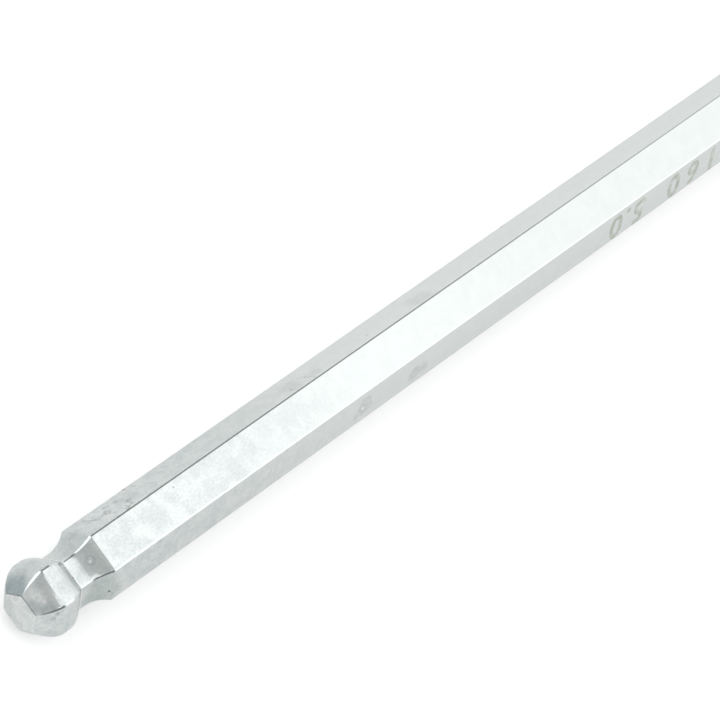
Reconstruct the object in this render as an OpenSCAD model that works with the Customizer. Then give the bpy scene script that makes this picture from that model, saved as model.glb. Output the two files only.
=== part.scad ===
// Hex key with a ball end on the long arm and a plain end on the short arm.
// It lies flat on one of its own flats, as it would on a bench. The origin is
// below the centre of its bounding box, +X runs along the long arm away from
// the ball end, +Y runs along the short arm and +Z is up. Millimetres.

/* [Bar] */
// Size of the hexagonal bar across its flats
across_flats = 5; // [4:0.5:8]
// Rounding along the six corners of the bar
corner_radius = 0.25; // [0.1:0.05:0.4]

/* [Arms] */
// Long arm, from the tip of the ball to the outside of the short arm
long_arm = 160; // [60:5:250]
// Short arm, from the outside of the long arm to its plain end
short_arm = 28; // [24:1:60]
// Radius on the inside of the bend
bend_inside = 5; // [2:0.5:10]

/* [Ball end] */
// How far the ball's curve would stand above the flats of the bar. It leaves a
// narrow land of each flat round the middle of the ball
ball_over = 0.025; // [0.02:0.005:0.06]
// Size of the small flat at the tip, across its own flats
tip_across = 2.78; // [1.5:0.02:3]
// Depth of the neck below each flat of the bar
neck_depth = 0.63; // [0.4:0.01:0.9]
// Straight length at the bottom of the neck
neck_length = 0.44; // [0.2:0.02:3]
// Hollow rounding where the ball meets the neck
neck_fillet = 0.4; // [0.2:0.05:0.8]
// Radius of the curve that runs out from the neck to the bar
runout_radius = 3.6; // [1.5:0.1:8]

/* [Plain end] */
// Chamfer round the corners of the short arm's end
end_chamfer = 0.45; // [0.2:0.05:1]

/* [Hidden] */
$fn = 96;

finish = [0.78, 0.79, 0.80];

// Bar: half sizes across the flats and across the rounded corners
flat_half = across_flats / 2;
corner_centre = (flat_half - corner_radius) / cos(30);
corner_half = corner_centre + corner_radius;

// The bend joins the arms. Its centre is where the arms' straight parts start
bend_axis_radius = bend_inside + corner_half;
long_straight = long_arm - corner_half - bend_axis_radius;
short_straight = short_arm - corner_half - bend_axis_radius;
bend_centre = [long_arm / 2 - corner_half - bend_axis_radius,
               corner_half + bend_axis_radius - short_arm / 2,
               flat_half];

// Ball end, measured from the tip along the arm and outward from its axis
ball_radius = flat_half + ball_over;
tip_half = tip_across / 2;
ball_centre = sqrt(pow(ball_radius, 2) - pow(tip_half, 2));
neck_half = flat_half - neck_depth;
fillet_up = neck_half + neck_fillet;
fillet_centre = ball_centre + sqrt(pow(ball_radius + neck_fillet, 2) - pow(fillet_up, 2));
runout_start = fillet_centre + neck_length;

// Plain end: radius of the chamfer's circle at the end face
plain_end_radius = corner_half - end_chamfer;

// How far the cutting shapes reach past the bar
past = 1;
cutter_half = corner_half + past;

// Section of the bar: a hexagon with rounded corners, two of them on the X axis
module bar_section() {
    polygon([for (corner = [0:60:300], side = [-30, 30])
        corner_centre * [cos(corner), sin(corner)]
        + corner_radius * [cos(corner + side), sin(corner + side)]]);
    for (corner = [0:60:300])
        rotate(corner) translate([corner_centre, 0]) circle(corner_radius);
}

// Straight bar along +X, with a flat on top
module straight_bar(length) {
    rotate([90, 0, 90]) linear_extrude(length) bar_section();
}

// Profile of the tool that forms one flat of the ball end: X runs along the
// arm from the tip, Y outward from the axis
module form_profile() {
    difference() {
        union() {
            translate([-past, tip_half / 2])
                square([ball_centre + past, cutter_half - tip_half / 2]);
            polygon([
                [ball_centre, 0],
                [fillet_centre, fillet_up],
                [fillet_centre, neck_half],
                [runout_start, neck_half],
                [runout_start, cutter_half],
                [ball_centre, cutter_half]
            ]);
            translate([fillet_centre, fillet_up]) circle(neck_fillet);
            translate([runout_start, neck_half + runout_radius]) circle(runout_radius);
        }
        translate([ball_centre, 0]) circle(ball_radius);
    }
}

// One pass of the tool, straight across the bar above its upper flat
module form_pass() {
    rotate([90, 0, 0])
        linear_extrude(2 * cutter_half, center = true) form_profile();
}

// Ball end: the same pass over each of the six flats
module ball_end_cuts() {
    for (turn = [0:60:300])
        rotate([turn, 0, 0]) form_pass();
}

// Long arm, from the bend to the ball end
module long_arm_bar() {
    difference() {
        translate([0, -bend_axis_radius, 0]) rotate(180) straight_bar(long_straight);
        translate([-long_straight, -bend_axis_radius, 0]) ball_end_cuts();
    }
}

// Quarter turn on the same section
module bend() {
    rotate(-90)
        rotate_extrude(angle = 90)
            translate([bend_axis_radius, 0]) bar_section();
}

// Cone that takes the corners off the plain end
module end_cone() {
    cylinder(h = short_straight, r1 = plain_end_radius + short_straight, r2 = plain_end_radius);
}

// Short arm, from the bend to the plain end
module short_arm_bar() {
    translate([bend_axis_radius, 0, 0])
        intersection() {
            rotate(90) straight_bar(short_straight);
            rotate([-90, 0, 0]) end_cone();
        }
}

module hex_key() {
    color(finish) translate(bend_centre) {
        long_arm_bar();
        bend();
        short_arm_bar();
    }
}

hex_key();
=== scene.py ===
"""Looks of the hex key with a ball end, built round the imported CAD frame.

The key's mesh is drawn out of one section with bmesh operators, finer than the packed
one, so that its plated faces mirror the studio cleanly. Sizes inside the classes are
millimetres in the row's frame, and the finished meshes are metres.
"""
import logging
import math
from dataclasses import dataclass
from enum import Enum
from typing import Iterator

import bmesh
import bpy
from mathutils import Matrix, Vector


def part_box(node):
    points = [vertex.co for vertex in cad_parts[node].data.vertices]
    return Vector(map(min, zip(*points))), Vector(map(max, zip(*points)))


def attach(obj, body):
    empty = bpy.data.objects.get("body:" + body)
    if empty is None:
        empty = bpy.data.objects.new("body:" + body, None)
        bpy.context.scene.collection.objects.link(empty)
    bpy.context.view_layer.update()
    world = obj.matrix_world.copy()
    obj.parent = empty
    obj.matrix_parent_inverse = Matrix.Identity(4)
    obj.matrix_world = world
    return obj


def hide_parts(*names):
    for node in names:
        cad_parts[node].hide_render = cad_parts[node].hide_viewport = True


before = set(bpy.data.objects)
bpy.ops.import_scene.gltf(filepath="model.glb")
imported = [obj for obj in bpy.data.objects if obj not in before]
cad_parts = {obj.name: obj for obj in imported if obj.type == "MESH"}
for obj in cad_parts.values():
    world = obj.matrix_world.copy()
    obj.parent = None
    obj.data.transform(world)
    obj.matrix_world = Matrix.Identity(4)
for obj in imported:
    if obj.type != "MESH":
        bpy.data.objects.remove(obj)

Colour = tuple[float, float, float]
Edges = list[bmesh.types.BMEdge]

NODE = "hex_key"
BODY = "root"
METRES_PER_MM = 0.001
MM_PER_METRE = 1000.0
HEX_SIDES = 6
HALF_SIDE = math.radians(180 / HEX_SIDES)
log = logging.getLogger("hex_key")


class Flat(Enum):
    """The six flats of the long arm, by the angle of their normal from +Y towards +Z."""

    TOP = 90.0
    BACK_UPPER = 30.0
    BACK_LOWER = -30.0
    BOTTOM = -90.0
    FRONT_LOWER = -150.0
    FRONT_UPPER = 150.0

    @property
    def normal(self) -> Vector:
        """Direction that the flat faces."""
        turn = math.radians(self.value)
        return Vector((0.0, math.cos(turn), math.sin(turn)))

    @property
    def across(self) -> Vector:
        """Direction across the flat, square to the arm and to the normal."""
        turn = math.radians(self.value)
        return Vector((0.0, -math.sin(turn), math.cos(turn)))


class MarkKind(Enum):
    """Ways in which a mark shows: how ragged its edge is, and how broken up it is."""

    SPECK = (0.3, 0.0)
    # Soft-edged patch, used for tarnish and for painted shade and highlights.
    SOFT_PATCH = (0.35, 0.0)
    SMUDGE = (0.8, 0.4)
    RING = (0.9, 0.0)
    SCRATCH = (1.3, 1.0)

    @property
    def ragged(self) -> float:
        """How far the edge strays, as a share of the mark's size."""
        return self.value[0]

    @property
    def broken(self) -> float:
        """How much of the mark is missing where it is broken, from 0 to 1."""
        return self.value[1]


@dataclass(frozen=True)
class Bar:
    """Hexagonal bar that the key is bent from, in millimetres."""

    across_flats: float
    corner_radius: float = 0.25
    corner_steps: int = 6
    flat_steps: int = 7

    @property
    def flat_half(self) -> float:
        """Distance from the axis to a flat."""
        return self.across_flats / 2

    @property
    def sharp_corner(self) -> float:
        """Distance from the axis to where two flats would meet."""
        return self.flat_half / math.cos(HALF_SIDE)

    @property
    def corner_half(self) -> float:
        """Distance from the axis to the top of a rounded corner."""
        centre = (self.flat_half - self.corner_radius) / math.cos(HALF_SIDE)
        return centre + self.corner_radius

    def start(self, bm: bmesh.types.BMesh, half: float, place: Vector) -> Edges:
        """Makes the filled section that the bar is drawn out of, facing -X.

        Args:
            bm: Mesh that receives the section.
            half: Distance from the axis to a flat of this first section.
            place: Centre of the section.

        Returns:
            The edges round the section.
        """
        face_minus_x = Matrix.Rotation(math.radians(-90), 4, "Y")
        bmesh.ops.create_circle(
            bm,
            cap_ends=True,
            segments=HEX_SIDES,
            radius=self.sharp_corner,
            matrix=face_minus_x,
        )
        run = self.corner_radius * math.tan(HALF_SIDE)
        bmesh.ops.bevel(
            bm,
            geom=bm.verts[:],
            offset=run,
            offset_type="OFFSET",
            segments=self.corner_steps,
            profile=0.5,
            affect="VERTICES",
            material=-1,
        )
        long_edges = [e for e in bm.edges if e.calc_length() > self.corner_radius]
        bmesh.ops.bisect_edges(bm, edges=long_edges, cuts=self.flat_steps - 1)
        size = half / self.flat_half
        bmesh.ops.scale(bm, vec=(size, size, size), verts=bm.verts[:])
        bmesh.ops.translate(bm, vec=place, verts=bm.verts[:])
        return bm.edges[:]


@dataclass(frozen=True)
class BallEnd:
    """Ball, neck and run-out on the long arm, in millimetres from the tip."""

    bar: Bar
    ball_over: float = 0.025
    tip_across: float = 2.78
    neck_depth: float = 0.63
    neck_length: float = 0.44
    neck_fillet: float = 0.4
    runout_radius: float = 3.6
    crown_rise: float = 0.03
    crown_drop: float = 0.02
    crown_fade: float = 2.0
    ball_steps: int = 64
    fillet_steps: int = 8
    neck_steps: int = 4
    runout_steps: int = 24

    @property
    def ball_radius(self) -> float:
        """Radius of the ball's faces along the arm."""
        return self.bar.flat_half + self.ball_over

    @property
    def ball_centre(self) -> float:
        """Distance from the tip to the middle of the ball."""
        return math.sqrt(self.ball_radius**2 - (self.tip_across / 2) ** 2)

    @property
    def neck_half(self) -> float:
        """Distance from the axis to a flat at the bottom of the neck."""
        return self.bar.flat_half - self.neck_depth

    @property
    def fillet_centre(self) -> float:
        """Distance from the tip to the middle of the hollow beside the ball."""
        up = self.neck_half + self.neck_fillet
        return self.ball_centre + math.sqrt((self.ball_radius + self.neck_fillet) ** 2 - up**2)

    @property
    def runout_start(self) -> float:
        """Distance from the tip to where the neck begins to rise."""
        return self.fillet_centre + self.neck_length

    @property
    def ball_length(self) -> float:
        """Distance from the tip to where the ball meets the hollow."""
        up = self.neck_half + self.neck_fillet
        angle = math.atan2(up, self.fillet_centre - self.ball_centre)
        return self.ball_centre + self.ball_radius * math.cos(angle)

    def half_at(self, from_tip: float) -> float:
        """Finds how far the flats are from the axis.

        Args:
            from_tip: Distance from the tip.

        Returns:
            Distance from the axis to a flat there.
        """
        before = (0.0, self.tip_across / 2)
        for after in self.stations():
            if after[0] >= from_tip:
                share = (from_tip - before[0]) / (after[0] - before[0])
                return before[1] + share * (after[1] - before[1])
            before = after
        return self.bar.flat_half

    def stations(self) -> Iterator[tuple[float, float]]:
        """Walks along the profile, from just behind the tip to the full bar.

        Returns:
            Pairs of distance from the tip and distance from the axis to a flat.
        """
        up = self.neck_half + self.neck_fillet
        tip_angle = math.acos(-self.ball_centre / self.ball_radius)
        joint_angle = math.atan2(up, self.fillet_centre - self.ball_centre)
        land = math.asin(self.bar.flat_half / self.ball_radius)
        angles = [tip_angle + (joint_angle - tip_angle) * step / self.ball_steps
                  for step in range(1, self.ball_steps + 1)]
        for angle in sorted([*angles, land, math.pi - land], reverse=True):
            along = self.ball_centre + self.ball_radius * math.cos(angle)
            yield along, min(self.ball_radius * math.sin(angle), self.bar.flat_half)
        for step in range(1, self.fillet_steps + 1):
            angle = joint_angle + (math.pi / 2 - joint_angle) * step / self.fillet_steps
            along = self.fillet_centre - self.neck_fillet * math.cos(angle)
            yield along, up - self.neck_fillet * math.sin(angle)
        for step in range(1, self.neck_steps + 1):
            yield self.fillet_centre + self.neck_length * step / self.neck_steps, self.neck_half
        rise = math.acos(1 - self.neck_depth / self.runout_radius)
        for step in range(1, self.runout_steps + 1):
            angle = rise * step / self.runout_steps
            along = self.runout_start + self.runout_radius * math.sin(angle)
            yield along, self.neck_half + self.runout_radius * (1 - math.cos(angle))


@dataclass(frozen=True)
class Mark:
    """One mark on a flat of the long arm, in millimetres from the tip and from the middle line.

    It lies within its width of a circle of its radius, so a radius of 0 gives a filled spot.
    Its tint multiplies the colour of the plating.
    """

    name: str
    kind: MarkKind
    from_tip: float
    across: float
    radius: float
    width: float
    tint: Colour
    strength: float

    def drawn(
        self,
        sheet: "NodeSheet",
        spot: bpy.types.NodeTree,
        place: bpy.types.NodeSocket,
        centre: Vector,
        colour: bpy.types.NodeSocket,
    ) -> bpy.types.NodeSocket:
        """Draws the mark over a colour.

        Args:
            sheet: Sheet of the material.
            spot: Group that draws one spot.
            place: Output with the place in millimetres.
            centre: Middle of the mark in millimetres.
            colour: Output with the colour below.

        Returns:
            Output with the marked colour.
        """
        node = sheet.add("ShaderNodeGroup", self.name, node_tree=spot)
        node.inputs["Centre"].default_value = centre
        node.inputs["Radius"].default_value = self.radius
        node.inputs["Width"].default_value = self.width
        node.inputs["Ragged"].default_value = self.kind.ragged * (self.radius + self.width)
        node.inputs["Broken"].default_value = self.kind.broken
        sheet.join(place, node.inputs["Position"])
        share = sheet.math("MULTIPLY", node.outputs["Mask"], self.strength)
        return sheet.blend_colour(share, colour, (*self.tint, 1.0), "MULTIPLY")


# Tints that multiply the plating: the grey one serves both tarnish and painted shade, the bright
# one both bright specks and painted highlights.
GREY_TARNISH_AND_SHADE = (0.42, 0.485, 0.51)
GREEN_GREY_TINT = (0.47, 0.56, 0.51)
DARK_SCRATCH = (0.35, 0.37, 0.38)
PIT = (0.06, 0.07, 0.07)
BROWN_SPECK = (0.33, 0.24, 0.15)
RED_SPECK = (0.38, 0.2, 0.18)
BRIGHT_PLATING_AND_HIGHLIGHT = (1.4, 1.4, 1.4)

# Each mark gives its place from the tip and across, its radius and width, its tint and strength
MARKS: dict[Flat, tuple[Mark, ...]] = {
    Flat.BACK_UPPER: (
        # Painted shade with some real tarnish: darkens the front of the ball, where the plating
        # mirrors the shadowed floor.
        Mark("ball_front_shade_and_tarnish", MarkKind.SOFT_PATCH, 0.1, 0.0, 0.0, 1.85, GREY_TARNISH_AND_SHADE, 0.8),
        Mark("ball_back_tarnish", MarkKind.SOFT_PATCH, 2.4, 0.3, 0.0, 2.2, GREY_TARNISH_AND_SHADE, 0.12),
        # Darkens the back upper flat of the run-out.
        Mark("runout_back_darkening", MarkKind.SOFT_PATCH, 5.7, 0.3, 0.0, 1.9, GREY_TARNISH_AND_SHADE, 0.32),
        Mark("back_scratch_near", MarkKind.SCRATCH, 10.3, 0.3, 0.9, 0.2, DARK_SCRATCH, 0.5),
        Mark("back_scratch_far", MarkKind.SCRATCH, 12.3, -0.6, 0.6, 0.14, DARK_SCRATCH, 0.45),
        Mark("back_scratch_low", MarkKind.SCRATCH, 8.7, -0.6, 0.7, 0.15, DARK_SCRATCH, 0.35),
        Mark("back_smudge_near", MarkKind.SMUDGE, 11.4, 0.0, 0.0, 1.3, DARK_SCRATCH, 0.2),
        # Painted highlight: a broad lighter patch on the back upper flat near the ball end.
        Mark("back_gleam_near", MarkKind.SOFT_PATCH, 10.6, 0.2, 0.0, 3.4, BRIGHT_PLATING_AND_HIGHLIGHT, 0.11),
        Mark("back_brown_speck", MarkKind.SPECK, 12.3, -1.25, 0.0, 0.16, BROWN_SPECK, 0.9),
        Mark("back_tarnish_middle", MarkKind.SOFT_PATCH, 20.5, 0.0, 0.0, 8.0, GREY_TARNISH_AND_SHADE, 0.07),
        Mark("back_smudge_middle", MarkKind.SMUDGE, 27.9, 0.3, 0.0, 1.2, DARK_SCRATCH, 0.2),
        Mark("back_scratch_middle", MarkKind.SCRATCH, 28.6, 0.8, 1.0, 0.16, DARK_SCRATCH, 0.35),
        Mark("back_smudge_far", MarkKind.SMUDGE, 30.3, 0.6, 0.0, 0.7, DARK_SCRATCH, 0.25),
        Mark("back_dot", MarkKind.SPECK, 36.1, 0.55, 0.0, 0.2, DARK_SCRATCH, 0.3),
        Mark("back_grey_stretch", MarkKind.SMUDGE, 42.0, 0.7, 0.0, 1.6, DARK_SCRATCH, 0.18),
        Mark("back_nick", MarkKind.SPECK, 53.75, -1.3, 0.0, 0.2, DARK_SCRATCH, 0.6),
    ),
    Flat.TOP: (
        # Painted shade and a painted highlight on the pentagon: darker towards the front ridge and
        # along the tip's edge, lighter towards the back ridge.
        Mark("pentagon_shade", MarkKind.SOFT_PATCH, 0.65, 1.0, 0.0, 0.8, GREY_TARNISH_AND_SHADE, 0.35),
        Mark("pentagon_edge_shade", MarkKind.SOFT_PATCH, 0.1, 0.2, 0.0, 0.75, GREY_TARNISH_AND_SHADE, 0.22),
        Mark("pentagon_gleam", MarkKind.SOFT_PATCH, 0.6, -0.35, 0.0, 0.7, BRIGHT_PLATING_AND_HIGHLIGHT, 0.2),
        Mark("pentagon_ring", MarkKind.RING, 0.56, -0.12, 0.22, 0.15, BRIGHT_PLATING_AND_HIGHLIGHT, 0.24),
        Mark("pentagon_spot", MarkKind.SMUDGE, 0.72, 0.42, 0.0, 0.3, BRIGHT_PLATING_AND_HIGHLIGHT, 0.35),
        # Painted shade: the middle of the ball's bright band made darker.
        Mark("band_middle_shade", MarkKind.SOFT_PATCH, 2.5, 0.0, 0.0, 1.5, GREY_TARNISH_AND_SHADE, 0.13),
        Mark("neck_tarnish", MarkKind.SOFT_PATCH, 4.35, 0.0, 0.0, 1.4, GREY_TARNISH_AND_SHADE, 0.18),
        Mark("runout_tarnish", MarkKind.SOFT_PATCH, 5.7, 0.0, 0.0, 1.3, GREY_TARNISH_AND_SHADE, 0.12),
        Mark("red_speck", MarkKind.SPECK, 3.76, 0.18, 0.0, 0.1, RED_SPECK, 0.8),
        Mark("runout_ring", MarkKind.RING, 5.55, -0.1, 0.3, 0.15, DARK_SCRATCH, 0.15),
        Mark("runout_spot", MarkKind.SPECK, 5.52, -0.05, 0.0, 0.15, BRIGHT_PLATING_AND_HIGHLIGHT, 0.9),
        Mark("runout_fleck", MarkKind.SPECK, 5.66, -0.24, 0.0, 0.11, BRIGHT_PLATING_AND_HIGHLIGHT, 0.7),
        Mark("top_tarnish_middle", MarkKind.SOFT_PATCH, 23.0, 0.0, 0.0, 9.0, GREY_TARNISH_AND_SHADE, 0.06),
        Mark("top_dot", MarkKind.SPECK, 14.2, -0.9, 0.0, 0.09, DARK_SCRATCH, 0.8),
    ),
    Flat.FRONT_UPPER: (
        Mark("front_smudge_low", MarkKind.SMUDGE, 0.83, -0.6, 0.0, 0.3, DARK_SCRATCH, 0.45),
        Mark("front_smudge_high", MarkKind.SMUDGE, 1.1, -0.95, 0.0, 0.25, DARK_SCRATCH, 0.45),
        # Darkens the front upper flat of the run-out with a green-grey tint.
        Mark("runout_front_darkening", MarkKind.SOFT_PATCH, 5.6, 0.3, 0.0, 2.0, GREEN_GREY_TINT, 0.45),
        Mark("front_pit", MarkKind.SPECK, 6.2, 0.5, 0.0, 0.12, PIT, 1.0),
        Mark("front_stain_core", MarkKind.SMUDGE, 32.4, 0.1, 0.0, 0.75, DARK_SCRATCH, 0.26),
        Mark("front_stain_ring", MarkKind.RING, 32.6, 0.0, 0.62, 0.26, DARK_SCRATCH, 0.18),
        Mark("front_stain_dot", MarkKind.SPECK, 32.3, 0.1, 0.0, 0.2, BRIGHT_PLATING_AND_HIGHLIGHT, 1.0),
        Mark("front_stain_edge", MarkKind.SMUDGE, 31.7, 0.5, 0.0, 0.5, DARK_SCRATCH, 0.16),
        Mark("front_smudge_far", MarkKind.SMUDGE, 38.2, 0.4, 0.0, 0.9, DARK_SCRATCH, 0.3),
        Mark("front_smudge_next", MarkKind.SMUDGE, 39.3, 0.35, 0.0, 0.6, DARK_SCRATCH, 0.22),
    ),
}


class NodeSheet:
    """Shorthand for filling one node tree."""

    def __init__(self, tree: bpy.types.NodeTree) -> None:
        """Keeps the tree and clears it."""
        self.tree = tree
        self.tree.nodes.clear()

    def add(self, kind: str, label: str = "", **settings: object) -> bpy.types.Node:
        """Adds a node and sets its properties.

        Args:
            kind: Blender's type name of the node.
            label: Plain words shown on the node.
            **settings: Properties of the node and their values.

        Returns:
            The new node.
        """
        node = self.tree.nodes.new(kind)
        node.label = label
        for name, value in settings.items():
            setattr(node, name, value)
        return node

    def join(self, source: bpy.types.NodeSocket, target: bpy.types.NodeSocket) -> None:
        """Links an output to an input."""
        self.tree.links.new(source, target)

    def math(self, operation: str, first: object, second: object = None) -> bpy.types.NodeSocket:
        """Adds a Math node on numbers or outputs.

        Args:
            operation: Blender's name of the operation.
            first: Number or output for the first input.
            second: Number or output for the second input.

        Returns:
            The result's output.
        """
        node = self.add("ShaderNodeMath", operation=operation)
        for index, value in enumerate((first, second)):
            if isinstance(value, bpy.types.NodeSocket):
                self.join(value, node.inputs[index])
            elif value is not None:
                node.inputs[index].default_value = value
        return node.outputs[0]

    def blend_colour(
        self, factor: object, base: object, tint: object, blend: str = "MIX"
    ) -> bpy.types.NodeSocket:
        """Adds a colour Mix node.

        Args:
            factor: Output that says how much of the tint shows.
            base: Colour or output below.
            tint: Colour or output above.
            blend: Blender's name of the way to mix them.

        Returns:
            The mixed colour's output.
        """
        node = self.add("ShaderNodeMix", data_type="RGBA", blend_type=blend)
        for name, value in (("Factor_Float", factor), ("A_Color", base), ("B_Color", tint)):
            socket = next(s for s in node.inputs if s.identifier == name)
            if isinstance(value, bpy.types.NodeSocket):
                self.join(value, socket)
            else:
                socket.default_value = value
        return next(s for s in node.outputs if s.identifier == "Result_Color")

    def ramp(self, value: object, low: float, high: float) -> bpy.types.NodeSocket:
        """Adds a smooth step from 0 at low to 1 at high.

        Args:
            value: Output that is read.
            low: Value that gives 0.
            high: Value that gives 1.

        Returns:
            The step's output.
        """
        node = self.add("ShaderNodeMapRange", interpolation_type="SMOOTHSTEP")
        self.join(value, node.inputs["Value"])
        node.inputs["From Min"].default_value = low
        node.inputs["From Max"].default_value = high
        return node.outputs["Result"]


def new_group(
    name: str, inputs: dict[str, str], outputs: dict[str, str]
) -> tuple[bpy.types.NodeTree, NodeSheet, bpy.types.Node, bpy.types.Node]:
    """Makes an empty shader node group.

    Args:
        name: Name of the group.
        inputs: Names of the inputs and their socket types.
        outputs: Names of the outputs and their socket types.

    Returns:
        The group, a sheet on it, its input node and its output node.
    """
    group = bpy.data.node_groups.new(name, "ShaderNodeTree")
    sheet = NodeSheet(group)
    for direction, sockets in (("INPUT", inputs), ("OUTPUT", outputs)):
        for socket, kind in sockets.items():
            group.interface.new_socket(socket, in_out=direction, socket_type=kind)
    return group, sheet, sheet.add("NodeGroupInput"), sheet.add("NodeGroupOutput")


NOISE_MEAN = 0.5
EDGE_NOISE_SCALE = 2.2
EDGE_NOISE_DETAIL = 4.0
SPOT_CORE = 0.35
GAP_NOISE_SCALE = 1.6
GAP_RANGE = (0.44, 0.56)


def spot_group() -> bpy.types.NodeTree:
    """Builds the group that draws one round or ring-shaped spot with a ragged edge.

    Returns:
        The node group. Its Mask is 1 in the spot and 0 outside it.
    """
    group, sheet, given, result = new_group(
        "Spot",
        {
            "Position": "NodeSocketVector",
            "Centre": "NodeSocketVector",
            "Radius": "NodeSocketFloat",
            "Width": "NodeSocketFloat",
            "Ragged": "NodeSocketFloat",
            "Broken": "NodeSocketFloat",
        },
        {"Mask": "NodeSocketFloat"},
    )
    noise = sheet.add("ShaderNodeTexNoise", "Ragged edge")
    noise.inputs["Scale"].default_value = EDGE_NOISE_SCALE
    noise.inputs["Detail"].default_value = EDGE_NOISE_DETAIL
    sheet.join(given.outputs["Position"], noise.inputs["Vector"])
    apart = sheet.add("ShaderNodeVectorMath", operation="DISTANCE")
    sheet.join(given.outputs["Position"], apart.inputs[0])
    sheet.join(given.outputs["Centre"], apart.inputs[1])
    uneven = sheet.math("SUBTRACT", noise.outputs["Fac"], NOISE_MEAN)
    swing = sheet.math("MULTIPLY", uneven, given.outputs["Ragged"])
    reach = sheet.math("ADD", apart.outputs["Value"], swing)
    off_line = sheet.math("ABSOLUTE", sheet.math("SUBTRACT", reach, given.outputs["Radius"]))
    share = sheet.math("DIVIDE", off_line, given.outputs["Width"])
    mask = sheet.math("SUBTRACT", 1.0, sheet.ramp(share, SPOT_CORE, 1.0))
    gaps = sheet.add("ShaderNodeTexNoise", "Gaps")
    gaps.inputs["Scale"].default_value = GAP_NOISE_SCALE
    sheet.join(given.outputs["Position"], gaps.inputs["Vector"])
    missing = sheet.math("SUBTRACT", 1.0, sheet.ramp(gaps.outputs["Fac"], *GAP_RANGE))
    kept = sheet.math("SUBTRACT", 1.0, sheet.math("MULTIPLY", missing, given.outputs["Broken"]))
    sheet.join(sheet.math("MULTIPLY", mask, kept), result.inputs["Mask"])
    return group


# Name, detail and swirl of each noise that clouds or grains the metal
MOTTLE_NOISES = (("Cloud", 3.0, 0.5), ("Grain", 2.0, 0.2))


def mottle_group() -> bpy.types.NodeTree:
    """Builds the group that clouds and grains a worked metal surface.

    Returns:
        The node group, with Cloud and Grain from 0 to 1.
    """
    group, sheet, given, result = new_group(
        "Mottle",
        {
            "Position": "NodeSocketVector",
            "Cloud Size": "NodeSocketFloat",
            "Grain Size": "NodeSocketFloat",
        },
        {"Cloud": "NodeSocketFloat", "Grain": "NodeSocketFloat"},
    )
    for name, detail, swirl in MOTTLE_NOISES:
        noise = sheet.add("ShaderNodeTexNoise", name)
        noise.inputs["Detail"].default_value = detail
        noise.inputs["Distortion"].default_value = swirl
        sheet.join(given.outputs["Position"], noise.inputs["Vector"])
        sheet.join(sheet.math("DIVIDE", 1.0, given.outputs[f"{name} Size"]), noise.inputs["Scale"])
        sheet.join(noise.outputs["Fac"], result.inputs[name])
    return group


def millimetres(sheet: NodeSheet) -> bpy.types.NodeSocket:
    """Object coordinates of the piece in millimetres.

    Args:
        sheet: Sheet of the material.

    Returns:
        Output of the Mapping node.
    """
    coordinates = sheet.add("ShaderNodeTexCoord")
    scaling = sheet.add("ShaderNodeMapping", "Metres to millimetres")
    scaling.inputs["Scale"].default_value = (MM_PER_METRE,) * 3
    sheet.join(coordinates.outputs["Object"], scaling.inputs["Vector"])
    return scaling.outputs["Vector"]


@dataclass
class Effects:
    """Node groups that the materials share, and where the tip is in millimetres."""

    mottle: bpy.types.NodeTree
    spot: bpy.types.NodeTree
    tip_x: float


def new_material(name: str) -> tuple[bpy.types.Material, NodeSheet]:
    """Makes an empty material.

    Args:
        name: Name of the material.

    Returns:
        The material, and a sheet on its nodes.
    """
    made = bpy.data.materials.new(name)
    made.use_nodes = True
    return made, NodeSheet(made.node_tree)


def mottled(
    sheet: NodeSheet,
    mottle: bpy.types.NodeTree,
    place: bpy.types.NodeSocket,
    cloud_size: float,
    grain_size: float,
) -> bpy.types.Node:
    """Places the group that clouds and grains the surface.

    Args:
        sheet: Sheet of the material.
        mottle: The group.
        place: Output with the place in millimetres.
        cloud_size: Size of the clouds in millimetres.
        grain_size: Size of the grain in millimetres.

    Returns:
        The group's node.
    """
    clouds = sheet.add("ShaderNodeGroup", "Clouds and grain", node_tree=mottle)
    clouds.inputs["Cloud Size"].default_value = cloud_size
    clouds.inputs["Grain Size"].default_value = grain_size
    sheet.join(place, clouds.inputs["Position"])
    return clouds


def metal(
    sheet: NodeSheet, colour: bpy.types.NodeSocket, roughness: bpy.types.NodeSocket
) -> bpy.types.Node:
    """Ends a material in a metal shader.

    Args:
        sheet: Sheet of the material.
        colour: Output with the metal's colour.
        roughness: Output with its roughness.

    Returns:
        The shader's node.
    """
    shader = sheet.add("ShaderNodeBsdfPrincipled")
    shader.inputs["Metallic"].default_value = 1.0
    sheet.join(colour, shader.inputs["Base Color"])
    sheet.join(roughness, shader.inputs["Roughness"])
    output = sheet.add("ShaderNodeOutputMaterial")
    sheet.join(shader.outputs["BSDF"], output.inputs["Surface"])
    return shader


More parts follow.
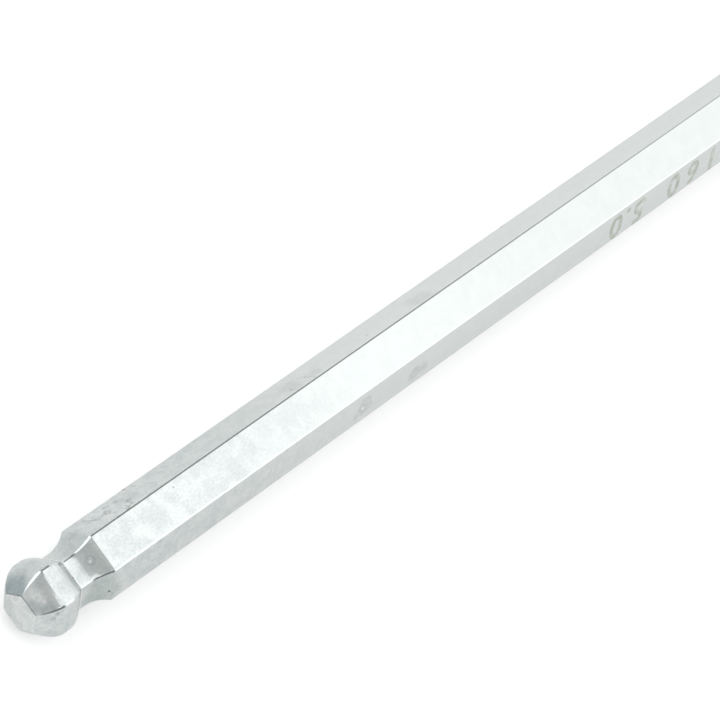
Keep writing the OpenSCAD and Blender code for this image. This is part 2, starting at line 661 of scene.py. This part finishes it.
@dataclass(frozen=True)
class PlatedFinish:
    """Satin plating of the key, mottled by handling towards the ball end."""

    name: str
    colour: Colour = (0.63, 0.66, 0.65)
    worn_colour: Colour = (0.465, 0.505, 0.51)
    cloud_size: float = 0.8
    cloud_share: float = 0.5
    grain_size: float = 0.2
    grain_share: float = 0.38
    noise_range: tuple[float, float] = (0.33, 0.67)
    clean_share: float = 0.2
    worn_length: tuple[float, float] = (9.0, 38.0)
    roughness: float = 0.13
    worn_roughness: float = 0.1
    grain_height: float = 0.0006

    def wear(
        self, sheet: NodeSheet, place: bpy.types.NodeSocket, clouds: bpy.types.Node, tip_x: float
    ) -> bpy.types.NodeSocket:
        """Works out how worn the plating is, which fades away from the ball end.

        Args:
            sheet: Sheet of the material.
            place: Output with the place in millimetres.
            clouds: Node with the clouds and the grain.
            tip_x: Place of the tip along the arm, in millimetres.

        Returns:
            Output that is 0 on clean plating.
        """
        along = sheet.add("ShaderNodeSeparateXYZ")
        sheet.join(place, along.inputs["Vector"])
        near, far = (tip_x + length for length in self.worn_length)
        fade = sheet.ramp(along.outputs["X"], near, far)
        clean = sheet.math("MULTIPLY", fade, 1 - self.clean_share)
        cloudy, grainy = (
            sheet.math("MULTIPLY", sheet.ramp(clouds.outputs[name], *self.noise_range), share)
            for name, share in (("Cloud", self.cloud_share), ("Grain", self.grain_share))
        )
        mottle = sheet.math("ADD", cloudy, grainy)
        return sheet.math("MULTIPLY", mottle, sheet.math("SUBTRACT", 1.0, clean))

    def material(self, effects: Effects, marks: list[tuple[Mark, Vector]]) -> bpy.types.Material:
        """Makes the material.

        Args:
            effects: Node groups that it shares, and where the tip is.
            marks: Pairs of a mark and its place in millimetres.

        Returns:
            The material.
        """
        made, sheet = new_material(self.name)
        place = millimetres(sheet)
        clouds = mottled(sheet, effects.mottle, place, self.cloud_size, self.grain_size)
        worn = self.wear(sheet, place, clouds, effects.tip_x)
        colour = sheet.blend_colour(worn, (*self.colour, 1.0), (*self.worn_colour, 1.0))
        for mark, centre in marks:
            colour = mark.drawn(sheet, effects.spot, place, centre, colour)
        rough = sheet.math("MULTIPLY", worn, self.worn_roughness)
        shader = metal(sheet, colour, sheet.math("ADD", rough, self.roughness))
        bump = sheet.add("ShaderNodeBump", "Fine unevenness")
        bump.inputs["Distance"].default_value = self.grain_height * METRES_PER_MM
        sheet.join(clouds.outputs["Grain"], bump.inputs["Height"])
        sheet.join(bump.outputs["Normal"], shader.inputs["Normal"])
        return made


TOP_FINISH = PlatedFinish(
    "satin_top",
    worn_colour=(0.43, 0.47, 0.475),
    cloud_size=1.3,
    cloud_share=0.42,
    grain_share=0.26,
)
# Painted light: a lighter copy of the plating for the tip's flat, lifting the shadowed floor that
# it mirrors.
LIGHTENED_TIP_FINISH = PlatedFinish(
    "satin_tip_painted_light", colour=(0.74, 0.77, 0.755), worn_colour=(0.54, 0.58, 0.575)
)
# Painted highlight: a lighter copy of the plating in the hollow between ball and neck.
HOLLOW_HIGHLIGHT_FINISH = PlatedFinish(
    "hollow_painted_highlight", colour=(0.7, 0.72, 0.71), worn_colour=(0.6, 0.63, 0.63)
)
# Painted shade: a dark copy of the plating for the rounded edges at the tip, on the top and back
# upper flats.
EDGE_SHADE_FINISH = PlatedFinish(
    "tip_edge_painted_shade", colour=(0.3, 0.32, 0.32), worn_colour=(0.16, 0.175, 0.175)
)
END_FINISHES = (LIGHTENED_TIP_FINISH, HOLLOW_HIGHLIGHT_FINISH, EDGE_SHADE_FINISH)
EDGE_SHADE_FLATS = (Flat.TOP, Flat.BACK_UPPER)


@dataclass(frozen=True)
class EtchedFinish:
    """Dull olive-grey of an etched marking."""

    name: str = "etched_marking"
    colour: Colour = (0.39, 0.42, 0.36)
    faded_colour: Colour = (0.57, 0.605, 0.56)
    cloud_size: float = 0.6
    grain_size: float = 0.12
    fade_range: tuple[float, float] = (0.3, 0.7)
    roughness: float = 0.3
    grain_roughness: float = 0.15

    def material(self, mottle: bpy.types.NodeTree) -> bpy.types.Material:
        """Makes the material.

        Args:
            mottle: Group that clouds and grains the surface.

        Returns:
            The material.
        """
        made, sheet = new_material(self.name)
        clouds = mottled(sheet, mottle, millimetres(sheet), self.cloud_size, self.grain_size)
        faded = sheet.ramp(clouds.outputs["Cloud"], *self.fade_range)
        colour = sheet.blend_colour(faded, (*self.colour, 1.0), (*self.faded_colour, 1.0))
        rough = sheet.math("MULTIPLY", clouds.outputs["Grain"], self.grain_roughness)
        metal(sheet, colour, sheet.math("ADD", rough, self.roughness))
        return made


def put_in_order(bm: bmesh.types.BMesh) -> None:
    """Orders vertices, edges and faces, which an extrusion leaves in a new order each run.

    Args:
        bm: The mesh.
    """
    rules = (
        (bm.verts, lambda vert: vert.co[:]),
        (bm.edges, lambda edge: sorted(vert.index for vert in edge.verts)),
        (bm.faces, lambda face: sorted(vert.index for vert in face.verts)),
    )
    for elements, rule in rules:
        for index, element in enumerate(sorted(elements, key=rule)):
            element.index = index
        elements.sort()


def finished_piece(
    bm: bmesh.types.BMesh, name: str, materials: list[bpy.types.Material]
) -> bpy.types.Object:
    """Turns a millimetre mesh into a piece of the key.

    Args:
        bm: The mesh, which is freed.
        name: Name of the piece.
        materials: Its finishes, in the order of its faces' numbers.

    Returns:
        The object, at the origin, riding on the key's body.
    """
    put_in_order(bm)
    bmesh.ops.recalc_face_normals(bm, faces=bm.faces[:])
    bmesh.ops.scale(bm, vec=(METRES_PER_MM,) * 3, verts=bm.verts[:])
    mesh = bpy.data.meshes.new(name)
    bm.to_mesh(mesh)
    bm.free()
    for material in materials:
        mesh.materials.append(material)
    piece = bpy.data.objects.new(name, mesh)
    bpy.context.scene.collection.objects.link(piece)
    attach(piece, BODY)
    return piece


def only(kind: type, geometry: list) -> list:
    """The elements of one kind in an operator's result."""
    return [g for g in geometry if isinstance(g, kind)]


@dataclass
class KeyBody:
    """The bent bar with its ball end and its plain end, in millimetres."""

    low: Vector
    high: Vector
    bend_inside: float = 5.0
    bend_steps: int = 48
    end_chamfer: float = 0.45
    edge_radius: float = 0.045
    edge_steps: int = 3

    def __post_init__(self) -> None:
        """Works out the bar and the arms' places from the CAD box."""
        self.bar = Bar(across_flats=self.high.z - self.low.z)
        self.ball_end = BallEnd(self.bar)
        self.axis_y = self.low.y + self.bar.corner_half
        self.axis_z = (self.low.z + self.high.z) / 2
        self.bend_radius = self.bend_inside + self.bar.corner_half
        self.bend_centre = Vector((
            self.high.x - self.bar.corner_half - self.bend_radius,
            self.axis_y + self.bend_radius,
            self.axis_z,
        ))

    def on_flat(
        self, flat: Flat, from_tip: float, across: float = 0.0, depth: float = 0.0
    ) -> Vector:
        """Finds a point on a flat of the long arm.

        Args:
            flat: The flat.
            from_tip: Distance from the tip.
            across: Distance from the flat's middle line.
            depth: Distance below the surface.

        Returns:
            The point in the row's frame.
        """
        axis = Vector((self.low.x + from_tip, self.axis_y, self.axis_z))
        up = self.ball_end.half_at(from_tip) - depth
        return axis + up * flat.normal + across * flat.across

    def placed_marks(self, flat: Flat) -> list[tuple[Mark, Vector]]:
        """Pairs of each mark on a flat and its place."""
        marks = MARKS.get(flat, ())
        return [(mark, self.on_flat(flat, mark.from_tip, mark.across)) for mark in marks]

    def draw_out(self, bm: bmesh.types.BMesh, rim: Edges, step: Vector, size: float) -> Edges:
        """Draws the open rim along the long arm.

        Args:
            bm: Mesh of the key.
            rim: Edges of the open rim.
            step: Move to the next station.
            size: Scale of the section from this station to the next.

        Returns:
            The edges of the new rim.
        """
        made = bmesh.ops.extrude_edge_only(bm, edges=rim)["geom"]
        verts = only(bmesh.types.BMVert, made)
        bmesh.ops.translate(bm, vec=step, verts=verts)
        to_axis = Matrix.Translation((0.0, -self.axis_y, -self.axis_z))
        bmesh.ops.scale(bm, vec=(1.0, size, size), space=to_axis, verts=verts)
        return only(bmesh.types.BMEdge, made)

    def draw_long_arm(self, bm: bmesh.types.BMesh) -> tuple[Edges, Edges]:
        """Draws the ball end and the long arm up to the bend.

        Args:
            bm: Empty mesh of the key.

        Returns:
            The edges of the open rim, and the edges of the creases.
        """
        half = self.ball_end.tip_across / 2
        along = 0.0
        rim = self.bar.start(bm, half, Vector((self.low.x, self.axis_y, self.axis_z)))
        creases = rim[:]
        for next_along, next_half in self.ball_end.stations():
            rim = self.draw_out(bm, rim, Vector((next_along - along, 0, 0)), next_half / half)
            along, half = next_along, next_half
        creases += rim
        self.crown_ball(bm)
        straight = self.bend_centre.x - self.low.x - along
        rim = self.draw_out(bm, rim, Vector((straight, 0, 0)), 1.0)
        return rim, creases

    def crown_ball(self, bm: bmesh.types.BMesh) -> None:
        """Rounds the ball's faces slightly across, as plating and tumbling leave them.

        No face rises above the bar's own flats, and its edges drop a little.

        Args:
            bm: Mesh that holds the ball end.
        """
        ball = self.ball_end
        axis = Vector((0.0, self.axis_y, self.axis_z))
        top = math.radians(Flat.TOP.value)
        side = 2 * HALF_SIDE
        for vert in bm.verts:
            along = vert.co.x - self.low.x
            if along > ball.ball_length:
                continue
            out = Vector((0.0, vert.co.y, vert.co.z)) - axis
            turn = math.atan2(out.z, out.y)
            nearest = top + side * round((turn - top) / side)
            normal = Vector((0.0, math.cos(nearest), math.sin(nearest)))
            share = min(1.0, abs(math.tan(turn - nearest) / math.tan(side / 2)))
            reach = math.sqrt(ball.ball_radius**2 - (along - ball.ball_centre) ** 2)
            half = min(reach, self.bar.flat_half)
            fade = min(1.0, ball.crown_fade * math.sin(math.pi * along / ball.ball_length))
            rise = min(ball.crown_rise, self.bar.flat_half - half) * (1 - share**2)
            if out.dot(normal) > self.bar.corner_radius:
                vert.co += fade * (rise - ball.crown_drop * share**2) * normal

    def turn_bend(self, bm: bmesh.types.BMesh, rim: Edges) -> Edges:
        """Turns the rim through the bend.

        Args:
            bm: Mesh of the key.
            rim: Edges of the open rim.

        Returns:
            The edges of the new rim.
        """
        made = bmesh.ops.spin(
            bm,
            geom=rim,
            cent=self.bend_centre,
            axis=(0.0, 0.0, 1.0),
            angle=math.radians(90),
            steps=self.bend_steps,
            use_merge=False,
            use_duplicate=False,
        )
        return only(bmesh.types.BMEdge, made["geom_last"])

    def close_short_arm(self, bm: bmesh.types.BMesh, rim: Edges) -> Edges:
        """Draws the short arm to its chamfered plain end.

        Args:
            bm: Mesh of the key.
            rim: Edges of the open rim.

        Returns:
            The edges of the creases.
        """
        axis_x = self.bend_centre.x + self.bend_radius
        end_radius = self.bar.corner_half - self.end_chamfer
        made = bmesh.ops.extrude_edge_only(bm, edges=rim)["geom"]
        shoulder = only(bmesh.types.BMEdge, made)
        for vert in only(bmesh.types.BMVert, made):
            out = math.hypot(vert.co.x - axis_x, vert.co.z - self.axis_z)
            vert.co.y = self.high.y - (out - end_radius)
        made = bmesh.ops.extrude_edge_only(bm, edges=shoulder)["geom"]
        end = only(bmesh.types.BMEdge, made)
        for vert in only(bmesh.types.BMVert, made):
            side = Vector((vert.co.x - axis_x, 0.0, vert.co.z - self.axis_z))
            vert.co = Vector((axis_x, self.high.y, self.axis_z)) + end_radius * side.normalized()
        bmesh.ops.edgeloop_fill(bm, edges=end)
        return shoulder + end

    def dress(
        self, bm: bmesh.types.BMesh, creased: list[bmesh.types.BMFace], effects: Effects
    ) -> list[bpy.types.Material]:
        """Gives each face the finish of its flat, a lighter copy of the plating for the tip and
        the hollow, or the painted shade on the tip's rounded edges.

        Args:
            bm: Mesh of the key.
            creased: Faces of the rounded creases.
            effects: Node groups that the finishes share.

        Returns:
            The materials, in the order of the faces' numbers.
        """
        flats = list(Flat)
        tip, hollow, crease = range(len(flats), len(flats) + len(END_FINISHES))
        hollow_from, hollow_to = self.ball_end.ball_length, self.ball_end.fillet_centre
        tip_reach = self.edge_radius / 10
        edge_shade_reach = self.edge_radius * 2
        # Rounded edge faces, some of which take the painted shade at the tip.
        worn = set(creased)
        for face in bm.faces:
            face.smooth = True
            middle = face.calc_center_median()
            from_tip = middle.x - self.low.x
            turn = math.degrees(math.atan2(middle.z - self.axis_z, middle.y - self.axis_y))
            away = [abs((turn - flat.value + 180) % 360 - 180) for flat in flats]
            nearest = away.index(min(away))
            face.material_index = nearest if middle.x < self.bend_centre.x else 0
            # The hollow takes a lighter copy of the plating, a painted highlight, and the tip one
            # too, painted light.
            if hollow_from < from_tip < hollow_to:
                face.material_index = hollow
            if from_tip < tip_reach:
                face.material_index = tip
            # Painted shade: the rounded edges at the tip on the top and back upper flats get a
            # dark copy of the plating.
            if face in worn and from_tip < edge_shade_reach and flats[nearest] in EDGE_SHADE_FLATS:
                face.material_index = crease
        finishes = [
            (TOP_FINISH if flat is Flat.TOP else PlatedFinish(f"satin_{flat.name.lower()}"), flat)
            for flat in flats
        ]
        finishes += [(finish, Flat.TOP) for finish in END_FINISHES]
        return [finish.material(effects, self.placed_marks(flat)) for finish, flat in finishes]

    def build(self, effects: Effects) -> bpy.types.Object:
        """Builds the key's mesh.

        Args:
            effects: Node groups that the finishes share.

        Returns:
            The piece, which replaces the CAD node.
        """
        bm = bmesh.new()
        rim, creases = self.draw_long_arm(bm)
        rim = self.turn_bend(bm, rim)
        creases += self.close_short_arm(bm, rim)
        creased = bmesh.ops.bevel(
            bm,
            geom=creases,
            offset=self.edge_radius,
            offset_type="OFFSET",
            segments=self.edge_steps,
            profile=0.5,
            affect="EDGES",
            material=-1,
        )["faces"]
        materials = self.dress(bm, creased, effects)
        piece = finished_piece(bm, "hex_key_body", materials)
        soften = piece.modifiers.new("Weighted normals", "WEIGHTED_NORMAL")
        soften.keep_sharp = True
        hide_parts(NODE)
        return piece


@dataclass(frozen=True)
class SizeMarking:
    """One plain number etched on a flat of the long arm, in millimetres."""

    name: str
    number: str
    from_tip: float
    flat: Flat = Flat.FRONT_UPPER
    size: float = 3.1
    spacing: float = 1.2
    bolder: float = 0.07
    proud: float = 0.004
    sunk: float = 0.01
    merge_gap: float = 0.0004

    def build(self, body: KeyBody, material: bpy.types.Material) -> bpy.types.Object:
        """Builds the number as a thin closed plate, read from the plain end.

        Args:
            body: The key that carries it.
            material: Its finish.

        Returns:
            The piece.
        """
        curve = bpy.data.curves.new(self.name, "FONT")
        curve.body = self.number
        curve.size = self.size
        curve.space_character = self.spacing
        curve.offset = self.bolder
        curve.extrude = (self.proud + self.sunk) / 2
        curve.align_x = "CENTER"
        curve.align_y = "CENTER"
        drawn = bpy.data.objects.new(f"{self.name}_outline", curve)
        mesh = drawn.to_mesh()
        bm = bmesh.new()
        bm.from_mesh(mesh)
        drawn.to_mesh_clear()
        bpy.data.objects.remove(drawn)
        bmesh.ops.remove_doubles(bm, verts=bm.verts[:], dist=self.merge_gap)
        place = body.on_flat(self.flat, self.from_tip, depth=(self.sunk - self.proud) / 2)
        to_tip = Vector((-1.0, 0.0, 0.0))
        facing = Matrix((to_tip, self.flat.across, self.flat.normal)).transposed()
        laid = Matrix.Translation(place) @ facing.to_4x4()
        bmesh.ops.transform(bm, matrix=laid, verts=bm.verts[:])
        return finished_piece(bm, self.name, [material])


MARKINGS = (
    SizeMarking("size_across_flats", "5.0", from_tip=63.6),
    SizeMarking("size_of_long_arm", "160", from_tip=72.0, spacing=1.6),
)


def direction(azimuth: float, elevation: float) -> Vector:
    """Finds a direction.

    Args:
        azimuth: Angle round Z from +X towards +Y, in degrees.
        elevation: Angle above the floor, in degrees.

    Returns:
        The direction, of length 1.
    """
    level = math.cos(math.radians(elevation))
    return Vector((
        level * math.cos(math.radians(azimuth)),
        level * math.sin(math.radians(azimuth)),
        math.sin(math.radians(elevation)),
    ))


def aimed(
    target: Vector, azimuth: float, elevation: float, distance: float, roll: float = 0.0
) -> Matrix:
    """Places something at a distance from a target, facing it.

    Args:
        target: Point that it faces, in metres.
        azimuth: Angle round Z from +X towards +Y, in degrees.
        elevation: Angle above the floor, in degrees.
        distance: Distance from the target, in metres.
        roll: Turn about its own line of sight, in degrees.

    Returns:
        The object's world matrix.
    """
    back = direction(azimuth, elevation)
    facing = (-back).to_track_quat("-Z", "Y").to_matrix().to_4x4()
    turned = facing @ Matrix.Rotation(math.radians(roll), 4, "Z")
    return Matrix.Translation(target + distance * back) @ turned


@dataclass(frozen=True)
class Panel:
    """One soft panel of the room, seen from the key as a patch with straight sides.

    Its corners are azimuth and elevation in degrees, anticlockwise as the key sees them
    in a mirror laid on the floor, so that each side keeps the patch on its left.
    """

    name: str
    corners: tuple[tuple[float, float], ...]
    radiance: float
    softness: float = 2.0

    def glow(self, sheet: NodeSheet, seen: bpy.types.NodeSocket) -> bpy.types.NodeSocket:
        """Draws the panel on the world.

        Args:
            sheet: Sheet of the world.
            seen: Output that gives the direction looked in.

        Returns:
            Output with the panel's light.
        """
        light = None
        half = math.sin(math.radians(self.softness / 2))
        for index, corner in enumerate(self.corners):
            following = self.corners[(index + 1) % len(self.corners)]
            inward = direction(*corner).cross(direction(*following)).normalized()
            side = sheet.add("ShaderNodeVectorMath", self.name, operation="DOT_PRODUCT")
            side.inputs[1].default_value = inward
            sheet.join(seen, side.inputs[0])
            within = sheet.ramp(side.outputs["Value"], -half, half)
            light = within if light is None else sheet.math("MULTIPLY", light, within)
        return sheet.math("MULTIPLY", light, self.radiance)


@dataclass(frozen=True)
class Softbox:
    """One soft rectangular lamp, placed as seen from the ball end."""

    name: str
    azimuth: float
    elevation: float
    width: float
    height: float
    radiance: float
    distance: float = 1.6

    def light(self, target: Vector) -> bpy.types.Object:
        """Makes the lamp.

        Args:
            target: Point that the lamp faces, in metres.

        Returns:
            The lamp's object.
        """
        lamp = bpy.data.lights.new(self.name, "AREA")
        lamp.shape = "RECTANGLE"
        lamp.size = 2 * self.distance * math.tan(math.radians(self.width / 2))
        lamp.size_y = 2 * self.distance * math.tan(math.radians(self.height / 2))
        lamp.energy = self.radiance * math.pi * lamp.size * lamp.size_y
        placed = bpy.data.objects.new(self.name, lamp)
        placed.matrix_world = aimed(target, self.azimuth, self.elevation, self.distance)
        placed.visible_camera = False
        bpy.context.scene.collection.objects.link(placed)
        return placed


# Corners of the two panels that follow the faces and the ridge most closely
HEAD_CORNERS = ((-2.4, 75.5), (-50, 88.4), (-121, 86.3), (-113, 82.0), (-72, 50), (0, 55))
FAR_RIDGE_CORNERS = ((51.5, -5), (48.5, 22.5), (25, 47.5), (-10, 51), (-10, -5))


@dataclass
class Studio:
    """White floor, a dim room with soft panels, and one soft lamp."""

    target: Vector
    floor_radius: float = 3.0
    floor_sides: int = 96
    floor_gap: float = 0.00002
    floor_white: float = 0.8
    floor_lift: float = 0.33
    mirrored_lift: float = 0.16
    dim: float = 0.3
    panels: tuple[Panel, ...] = (
        Panel("front_panel", ((-72, 11), (48, 11), (17.8, 67.5), (-72, 88.5)), 1.47),
        Panel("front_low_panel", ((-72, -12), (62, -12), (62, 13), (-72, 13)), 1.2, softness=4),
        Panel("front_edge_panel", ((-72, 8), (-36, 8), (-30, 52), (-72, 52)), 2.0, softness=4),
        Panel("front_panel_head", HEAD_CORNERS, 1.47, softness=1),
        Panel("front_panel_core", ((-35, 42), (35, 42), (35, 60), (-35, 60)), 1.6, softness=8),
        Panel("far_ridge_panel", FAR_RIDGE_CORNERS, 0.74, softness=10),
        Panel("side_panel", ((73, -12), (150, -12), (150, 60), (73, 60)), 2.0),
        Panel("rear_panel", ((148, -12), (212, -12), (280, 70), (20, 66)), 0.72),
        Panel("rear_low_panel", ((148, -12), (212, -12), (212, 58), (148, 58)), 0.84, softness=6),
    )
    lamps: tuple[Softbox, ...] = (
        Softbox("soft_lamp", azimuth=-105, elevation=62, width=14, height=14, radiance=2.0),
    )

    def floor_material(self) -> bpy.types.Material:
        """Makes the floor white for the eye and for the key's mirror, with its shadow kept.

        Returns:
            The material.
        """
        made, sheet = new_material("studio_floor")
        diffuse = sheet.add("ShaderNodeBsdfDiffuse")
        diffuse.inputs["Color"].default_value = (self.floor_white,) * 3 + (1.0,)
        rays = sheet.add("ShaderNodeLightPath")
        glossy, through = (rays.outputs[f"Is {kind} Ray"] for kind in ("Glossy", "Transmission"))
        mirrored = sheet.math("MAXIMUM", glossy, through)
        mirrored = sheet.math("MULTIPLY", mirrored, self.mirrored_lift)
        seen = sheet.math("MULTIPLY", rays.outputs["Is Camera Ray"], self.floor_lift)
        glow = sheet.add("ShaderNodeEmission")
        sheet.join(sheet.math("MAXIMUM", seen, mirrored), glow.inputs["Strength"])
        both = sheet.add("ShaderNodeAddShader")
        sheet.join(diffuse.outputs["BSDF"], both.inputs[0])
        sheet.join(glow.outputs["Emission"], both.inputs[1])
        output = sheet.add("ShaderNodeOutputMaterial")
        sheet.join(both.outputs["Shader"], output.inputs["Surface"])
        return made

    def lay_floor(self) -> bpy.types.Object:
        """Lays the round floor just below the key.

        Returns:
            The floor's object.
        """
        bm = bmesh.new()
        bmesh.ops.create_circle(
            bm, cap_ends=True, segments=self.floor_sides, radius=self.floor_radius
        )
        bmesh.ops.translate(bm, vec=(0.0, 0.0, -self.floor_gap), verts=bm.verts[:])
        mesh = bpy.data.meshes.new("studio_floor")
        bm.to_mesh(mesh)
        bm.free()
        mesh.materials.append(self.floor_material())
        floor = bpy.data.objects.new("studio_floor", mesh)
        bpy.context.scene.collection.objects.link(floor)
        return floor

    def hang_panels(self) -> None:
        """Fills the room with dim grey and the soft panels."""
        world = bpy.data.worlds.new("studio_room")
        world.use_nodes = True
        sheet = NodeSheet(world.node_tree)
        seen = sheet.add("ShaderNodeTexCoord").outputs["Generated"]
        light = self.dim
        for panel in self.panels:
            light = sheet.math("MAXIMUM", light, panel.glow(sheet, seen))
        background = sheet.add("ShaderNodeBackground")
        background.inputs["Color"].default_value = (1.0, 1.0, 1.0, 1.0)
        sheet.join(light, background.inputs["Strength"])
        output = sheet.add("ShaderNodeOutputWorld")
        sheet.join(background.outputs["Background"], output.inputs["Surface"])
        bpy.context.scene.world = world

    def build(self) -> None:
        """Builds the floor, the room and the lamp."""
        self.lay_floor()
        self.hang_panels()
        for lamp in self.lamps:
            lamp.light(self.target)


@dataclass(frozen=True)
class PhotoCamera:
    """Camera at the photograph's place: a long lens close above the ball end."""

    aim: Vector
    distance: float = 0.27305
    azimuth: float = -178.22
    elevation: float = 52.27
    roll: float = 52.60
    lens: float = 191.46
    sensor: float = 36.0
    clip: tuple[float, float] = (0.01, 20.0)

    def place(self) -> bpy.types.Object:
        """Makes the camera and sets it as the scene's.

        Returns:
            The camera's object.
        """
        data = bpy.data.cameras.new("photo_camera")
        data.lens = self.lens
        data.sensor_width = self.sensor
        data.clip_start, data.clip_end = self.clip
        camera = bpy.data.objects.new("photo_camera", data)
        camera.matrix_world = aimed(
            self.aim, self.azimuth, self.elevation, self.distance, self.roll
        )
        bpy.context.scene.collection.objects.link(camera)
        bpy.context.scene.camera = camera
        return camera


def main() -> None:
    """Builds the key, the camera and the studio in order."""
    logging.basicConfig(level=logging.INFO, format="%(name)s: %(message)s")
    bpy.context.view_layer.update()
    scene = bpy.context.scene
    scene.view_settings.view_transform = "Standard"
    low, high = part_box(NODE)
    body = KeyBody(low * MM_PER_METRE, high * MM_PER_METRE)
    effects = Effects(mottle_group(), spot_group(), body.low.x)
    piece = body.build(effects)
    log.info("%s: %d faces", piece.name, len(piece.data.polygons))
    etched = EtchedFinish().material(effects.mottle)
    for marking in MARKINGS:
        piece = marking.build(body, etched)
        log.info("%s: %d faces", piece.name, len(piece.data.polygons))
    aim = body.on_flat(Flat.TOP, from_tip=33.66, across=-0.67)
    PhotoCamera(aim * METRES_PER_MM).place()
    ball = Vector((body.low.x + body.ball_end.ball_centre, body.axis_y, body.axis_z))
    Studio(ball * METRES_PER_MM).build()
    log.info("studio and camera in place")


if __name__ == "__main__":
    main()
